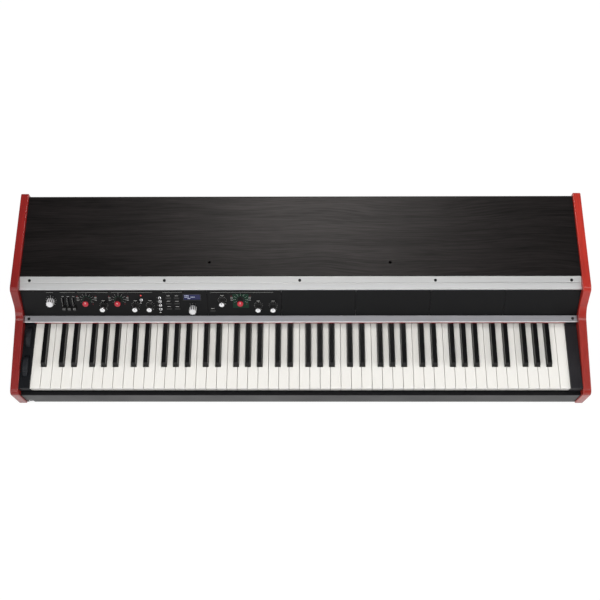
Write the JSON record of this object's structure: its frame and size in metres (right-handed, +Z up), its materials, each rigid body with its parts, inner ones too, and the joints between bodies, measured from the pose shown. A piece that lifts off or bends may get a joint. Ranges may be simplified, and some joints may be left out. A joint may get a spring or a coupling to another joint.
{
  "type": "stage piano",
  "caption": "Slab stage piano with red wooden side panels, a black lid board, a sloped control panel between aluminium trim rails, and a full hinged keyboard.",
  "frame": {"origin": "on the floor under the middle of the case, at the bottom centre of its box", "axes": "+X to the treble end (player's right), +Y to the rear, +Z up"},
  "size_m": [1.31, 0.457, 0.187],
  "materials": {
    "red_wood": "red-stained lacquered wood",
    "black_wood": "black open-grain wood veneer, satin",
    "case_board": "black-painted board",
    "black_sheet": "black powder-coated steel sheet",
    "panel_black": "black painted aluminium, satin",
    "front_rail_paint": "black paint, satin",
    "block_black": "black lacquered wood",
    "brushed_aluminium": "anodised, brushed along its length",
    "zinc_steel": "zinc-plated",
    "display_glass": "dark blue window",
    "white_key": "ivory white, semi-gloss",
    "black_key": "matt black with fine grain",
    "wheel_plastic": "blue-black plastic",
    "silver_knob": "fluted, bright",
    "silver_cap_knob": "black knob with a silver cap",
    "red_knob": "red knob with a black collar",
    "fader_plastic": "black",
    "button_plastic": "black",
    "chrome": "polished",
    "rocker_plastic": "black"
  },
  "bodies": {
    "case": {"base_board": "case_board", "side_panel_left": "red_wood", "side_panel_right": "red_wood", "lid_board": "black_wood", "rear_panel": "black_sheet", "upper_trim_rail": "brushed_aluminium", "lower_trim_rail": "brushed_aluminium", "front_rail": "front_rail_paint", "wheel_block": "block_black", "end_block_right": "block_black", "key_frame": "zinc_steel", "main_control_panel": "panel_black", "second_control_panel": "panel_black", "blank_panels": "panel_black", "display_window": "display_glass"},
    "key_c4": {"key_c4": "white_key"},
    "key_c_sharp4": {"key_c_sharp4": "black_key"},
    "key_d4": {"key_d4": "white_key"},
    "key_d_sharp4": {"key_d_sharp4": "black_key"},
    "key_e4": {"key_e4": "white_key"},
    "key_f4": {"key_f4": "white_key"},
    "key_f_sharp4": {"key_f_sharp4": "black_key"},
    "key_g4": {"key_g4": "white_key"},
    "key_g_sharp4": {"key_g_sharp4": "black_key"},
    "key_a4": {"key_a4": "white_key"},
    "key_a_sharp4": {"key_a_sharp4": "black_key"},
    "key_b4": {"key_b4": "white_key"},
    "bass_white_keys": {"bass_white_keys": "white_key"},
    "bass_black_keys": {"bass_black_keys": "black_key"},
    "treble_white_keys": {"treble_white_keys": "white_key"},
    "treble_black_keys": {"treble_black_keys": "black_key"},
    "mod_wheel": {"mod_wheel": "wheel_plastic"},
    "pitch_wheel": {"pitch_wheel": "wheel_plastic"},
    "volume_knob": {"volume_knob": "silver_knob"},
    "encoder_knob": {"encoder_knob": "silver_knob"},
    "selector_1": {"selector_1": "red_knob"},
    "selector_2": {"selector_2": "red_knob"},
    "selector_3": {"selector_3": "red_knob"},
    "knob_1": {"knob_1": "silver_cap_knob"},
    "knob_2": {"knob_2": "silver_cap_knob"},
    "knob_3": {"knob_3": "silver_cap_knob"},
    "knob_4": {"knob_4": "silver_cap_knob"},
    "knob_5": {"knob_5": "silver_cap_knob"},
    "knob_6": {"knob_6": "silver_cap_knob"},
    "fader_1": {"fader_1": "fader_plastic"},
    "fader_2": {"fader_2": "fader_plastic"},
    "fader_3": {"fader_3": "fader_plastic"},
    "toggle_1": {"toggle_1": "chrome"},
    "toggle_2": {"toggle_2": "chrome"},
    "toggle_3": {"toggle_3": "chrome"},
    "toggle_4": {"toggle_4": "chrome"},
    "mini_toggle": {"mini_toggle": "chrome"},
    "button_1": {"button_1": "button_plastic"},
    "button_2": {"button_2": "button_plastic"},
    "button_3": {"button_3": "button_plastic"},
    "button_4": {"button_4": "button_plastic"},
    "button_5": {"button_5": "button_plastic"},
    "button_6": {"button_6": "button_plastic"},
    "module_button": {"module_button": "button_plastic"},
    "power_rocker": {"power_rocker": "rocker_plastic"}
  },
  "joints": [
    {"name": "key_c4_press", "type": "hinge", "parent": "case", "child": "key_c4", "pos_m": [-0.05975, 0.0071, 0.079], "axis": [1, 0, 0], "range_deg": [0, 2.58], "stiffness_Nm_per_rad": 1, "springref_deg": -11.46},
    {"name": "key_c_sharp4_press", "type": "hinge", "parent": "case", "child": "key_c_sharp4", "pos_m": [-0.048, 0.0231, 0.089], "axis": [1, 0, 0], "range_deg": [0, 2.91], "stiffness_Nm_per_rad": 0.8, "springref_deg": -11.46},
    {"name": "key_d4_press", "type": "hinge", "parent": "case", "child": "key_d4", "pos_m": [-0.03625, 0.0071, 0.079], "axis": [1, 0, 0], "range_deg": [0, 2.58], "stiffness_Nm_per_rad": 1, "springref_deg": -11.46},
    {"name": "key_d_sharp4_press", "type": "hinge", "parent": "case", "child": "key_d_sharp4", "pos_m": [-0.0245, 0.0231, 0.089], "axis": [1, 0, 0], "range_deg": [0, 2.91], "stiffness_Nm_per_rad": 0.8, "springref_deg": -11.46},
    {"name": "key_e4_press", "type": "hinge", "parent": "case", "child": "key_e4", "pos_m": [-0.01275, 0.0071, 0.079], "axis": [1, 0, 0], "range_deg": [0, 2.58], "stiffness_Nm_per_rad": 1, "springref_deg": -11.46},
    {"name": "key_f4_press", "type": "hinge", "parent": "case", "child": "key_f4", "pos_m": [0.01075, 0.0071, 0.079], "axis": [1, 0, 0], "range_deg": [0, 2.58], "stiffness_Nm_per_rad": 1, "springref_deg": -11.46},
    {"name": "key_f_sharp4_press", "type": "hinge", "parent": "case", "child": "key_f_sharp4", "pos_m": [0.0225, 0.0231, 0.089], "axis": [1, 0, 0], "range_deg": [0, 2.91], "stiffness_Nm_per_rad": 0.8, "springref_deg": -11.46},
    {"name": "key_g4_press", "type": "hinge", "parent": "case", "child": "key_g4", "pos_m": [0.03425, 0.0071, 0.079], "axis": [1, 0, 0], "range_deg": [0, 2.58], "stiffness_Nm_per_rad": 1, "springref_deg": -11.46},
    {"name": "key_g_sharp4_press", "type": "hinge", "parent": "case", "child": "key_g_sharp4", "pos_m": [0.046, 0.0231, 0.089], "axis": [1, 0, 0], "range_deg": [0, 2.91], "stiffness_Nm_per_rad": 0.8, "springref_deg": -11.46},
    {"name": "key_a4_press", "type": "hinge", "parent": "case", "child": "key_a4", "pos_m": [0.05775, 0.0071, 0.079], "axis": [1, 0, 0], "range_deg": [0, 2.58], "stiffness_Nm_per_rad": 1, "springref_deg": -11.46},
    {"name": "key_a_sharp4_press", "type": "hinge", "parent": "case", "child": "key_a_sharp4", "pos_m": [0.0695, 0.0231, 0.089], "axis": [1, 0, 0], "range_deg": [0, 2.91], "stiffness_Nm_per_rad": 0.8, "springref_deg": -11.46},
    {"name": "key_b4_press", "type": "hinge", "parent": "case", "child": "key_b4", "pos_m": [0.08125, 0.0071, 0.079], "axis": [1, 0, 0], "range_deg": [0, 2.58], "stiffness_Nm_per_rad": 1, "springref_deg": -11.46},
    {"name": "bass_white_keys_press", "type": "hinge", "parent": "case", "child": "bass_white_keys", "pos_m": [-0.34175, 0.0071, 0.079], "axis": [1, 0, 0], "range_deg": [0, 2.58], "stiffness_Nm_per_rad": 23, "springref_deg": -11.46},
    {"name": "bass_black_keys_press", "type": "hinge", "parent": "case", "child": "bass_black_keys", "pos_m": [-0.34175, 0.0231, 0.089], "axis": [1, 0, 0], "range_deg": [0, 2.91], "stiffness_Nm_per_rad": 12.8, "springref_deg": -11.46},
    {"name": "treble_white_keys_press", "type": "hinge", "parent": "case", "child": "treble_white_keys", "pos_m": [0.3515, 0.0071, 0.079], "axis": [1, 0, 0], "range_deg": [0, 2.58], "stiffness_Nm_per_rad": 22, "springref_deg": -11.46},
    {"name": "treble_black_keys_press", "type": "hinge", "parent": "case", "child": "treble_black_keys", "pos_m": [0.3515, 0.0231, 0.089], "axis": [1, 0, 0], "range_deg": [0, 2.91], "stiffness_Nm_per_rad": 12, "springref_deg": -11.46},
    {"name": "mod_wheel_turn", "type": "hinge", "parent": "case", "child": "mod_wheel", "pos_m": [-0.624, -0.1639, 0.0777], "axis": [-1, 0, 0], "range_deg": [0, 60]},
    {"name": "pitch_wheel_turn", "type": "hinge", "parent": "case", "child": "pitch_wheel", "pos_m": [-0.624, -0.0954, 0.0777], "axis": [-1, 0, 0], "range_deg": [-40, 40], "stiffness_Nm_per_rad": 0.05},
    {"name": "volume_knob_turn", "type": "hinge", "parent": "case", "child": "volume_knob", "pos_m": [-0.569, -0.02268, 0.14583], "axis": [0, 0.8406, -0.5416], "range_deg": [-150, 150]},
    {"name": "encoder_knob_turn", "type": "hinge", "parent": "case", "child": "encoder_knob", "pos_m": [-0.245, -0.03458, 0.12737], "axis": [0, 0.8406, -0.5416], "continuous": true},
    {"name": "selector_1_turn", "type": "hinge", "parent": "case", "child": "selector_1", "pos_m": [-0.487, -0.02186, 0.1471], "axis": [0, 0.8406, -0.5416], "range_deg": [-135, 135]},
    {"name": "selector_2_turn", "type": "hinge", "parent": "case", "child": "selector_2", "pos_m": [-0.414, -0.02186, 0.1471], "axis": [0, 0.8406, -0.5416], "range_deg": [-135, 135]},
    {"name": "selector_3_turn", "type": "hinge", "parent": "case", "child": "selector_3", "pos_m": [-0.135, -0.02186, 0.1471], "axis": [0, 0.8406, -0.5416], "range_deg": [-135, 135]},
    {"name": "knob_1_turn", "type": "hinge", "parent": "case", "child": "knob_1", "pos_m": [-0.45, -0.03047, 0.13373], "axis": [0, 0.8406, -0.5416], "range_deg": [-150, 150]},
    {"name": "knob_2_turn", "type": "hinge", "parent": "case", "child": "knob_2", "pos_m": [-0.376, -0.03047, 0.13373], "axis": [0, 0.8406, -0.5416], "range_deg": [-150, 150]},
    {"name": "knob_3_turn", "type": "hinge", "parent": "case", "child": "knob_3", "pos_m": [-0.343, -0.03047, 0.13373], "axis": [0, 0.8406, -0.5416], "range_deg": [-150, 150]},
    {"name": "knob_4_turn", "type": "hinge", "parent": "case", "child": "knob_4", "pos_m": [-0.177, -0.02248, 0.14614], "axis": [0, 0.8406, -0.5416], "range_deg": [-150, 150]},
    {"name": "knob_5_turn", "type": "hinge", "parent": "case", "child": "knob_5", "pos_m": [-0.095, -0.0313, 0.13246], "axis": [0, 0.8406, -0.5416], "range_deg": [-150, 150]},
    {"name": "knob_6_turn", "type": "hinge", "parent": "case", "child": "knob_6", "pos_m": [-0.061, -0.0313, 0.13246], "axis": [0, 0.8406, -0.5416], "range_deg": [-150, 150]},
    {"name": "fader_1_slide", "type": "slide", "parent": "case", "child": "fader_1", "axis": [0, 0.5416, 0.8406], "range_m": [0, 0.025]},
    {"name": "fader_2_slide", "type": "slide", "parent": "case", "child": "fader_2", "axis": [0, 0.5416, 0.8406], "range_m": [0, 0.025]},
    {"name": "fader_3_slide", "type": "slide", "parent": "case", "child": "fader_3", "axis": [0, 0.5416, 0.8406], "range_m": [0, 0.025]},
    {"name": "toggle_1_flip", "type": "hinge", "parent": "case", "child": "toggle_1", "pos_m": [-0.3195, -0.01989, 0.15294], "axis": [-1, 0, 0], "range_deg": [0, 24]},
    {"name": "toggle_2_flip", "type": "hinge", "parent": "case", "child": "toggle_2", "pos_m": [-0.3195, -0.02574, 0.14386], "axis": [-1, 0, 0], "range_deg": [0, 24]},
    {"name": "toggle_3_flip", "type": "hinge", "parent": "case", "child": "toggle_3", "pos_m": [-0.3195, -0.03159, 0.13478], "axis": [-1, 0, 0], "range_deg": [0, 24]},
    {"name": "toggle_4_flip", "type": "hinge", "parent": "case", "child": "toggle_4", "pos_m": [-0.3195, -0.03744, 0.1257], "axis": [-1, 0, 0], "range_deg": [0, 24]},
    {"name": "mini_toggle_flip", "type": "hinge", "parent": "case", "child": "mini_toggle", "pos_m": [-0.362, -0.02312, 0.14791], "axis": [-1, 0, 0], "range_deg": [0, 24]},
    {"name": "button_1_press", "type": "slide", "parent": "case", "child": "button_1", "axis": [0, 0.8406, -0.5416], "range_m": [0, 0.0012], "stiffness_N_per_m": 300, "springref_m": -0.002},
    {"name": "button_2_press", "type": "slide", "parent": "case", "child": "button_2", "axis": [0, 0.8406, -0.5416], "range_m": [0, 0.0012], "stiffness_N_per_m": 300, "springref_m": -0.002},
    {"name": "button_3_press", "type": "slide", "parent": "case", "child": "button_3", "axis": [0, 0.8406, -0.5416], "range_m": [0, 0.0012], "stiffness_N_per_m": 300, "springref_m": -0.002},
    {"name": "button_4_press", "type": "slide", "parent": "case", "child": "button_4", "axis": [0, 0.8406, -0.5416], "range_m": [0, 0.0012], "stiffness_N_per_m": 300, "springref_m": -0.002},
    {"name": "button_5_press", "type": "slide", "parent": "case", "child": "button_5", "axis": [0, 0.8406, -0.5416], "range_m": [0, 0.0012], "stiffness_N_per_m": 300, "springref_m": -0.002},
    {"name": "button_6_press", "type": "slide", "parent": "case", "child": "button_6", "axis": [0, 0.8406, -0.5416], "range_m": [0, 0.0012], "stiffness_N_per_m": 300, "springref_m": -0.002},
    {"name": "module_button_press", "type": "slide", "parent": "case", "child": "module_button", "axis": [0, 0.8406, -0.5416], "range_m": [0, 0.0012], "stiffness_N_per_m": 300, "springref_m": -0.002},
    {"name": "power_rocker_flip", "type": "hinge", "parent": "case", "child": "power_rocker", "pos_m": [-0.518, 0.2165, 0.097], "axis": [1, 0, 0], "range_deg": [0, 14]}
  ]
}
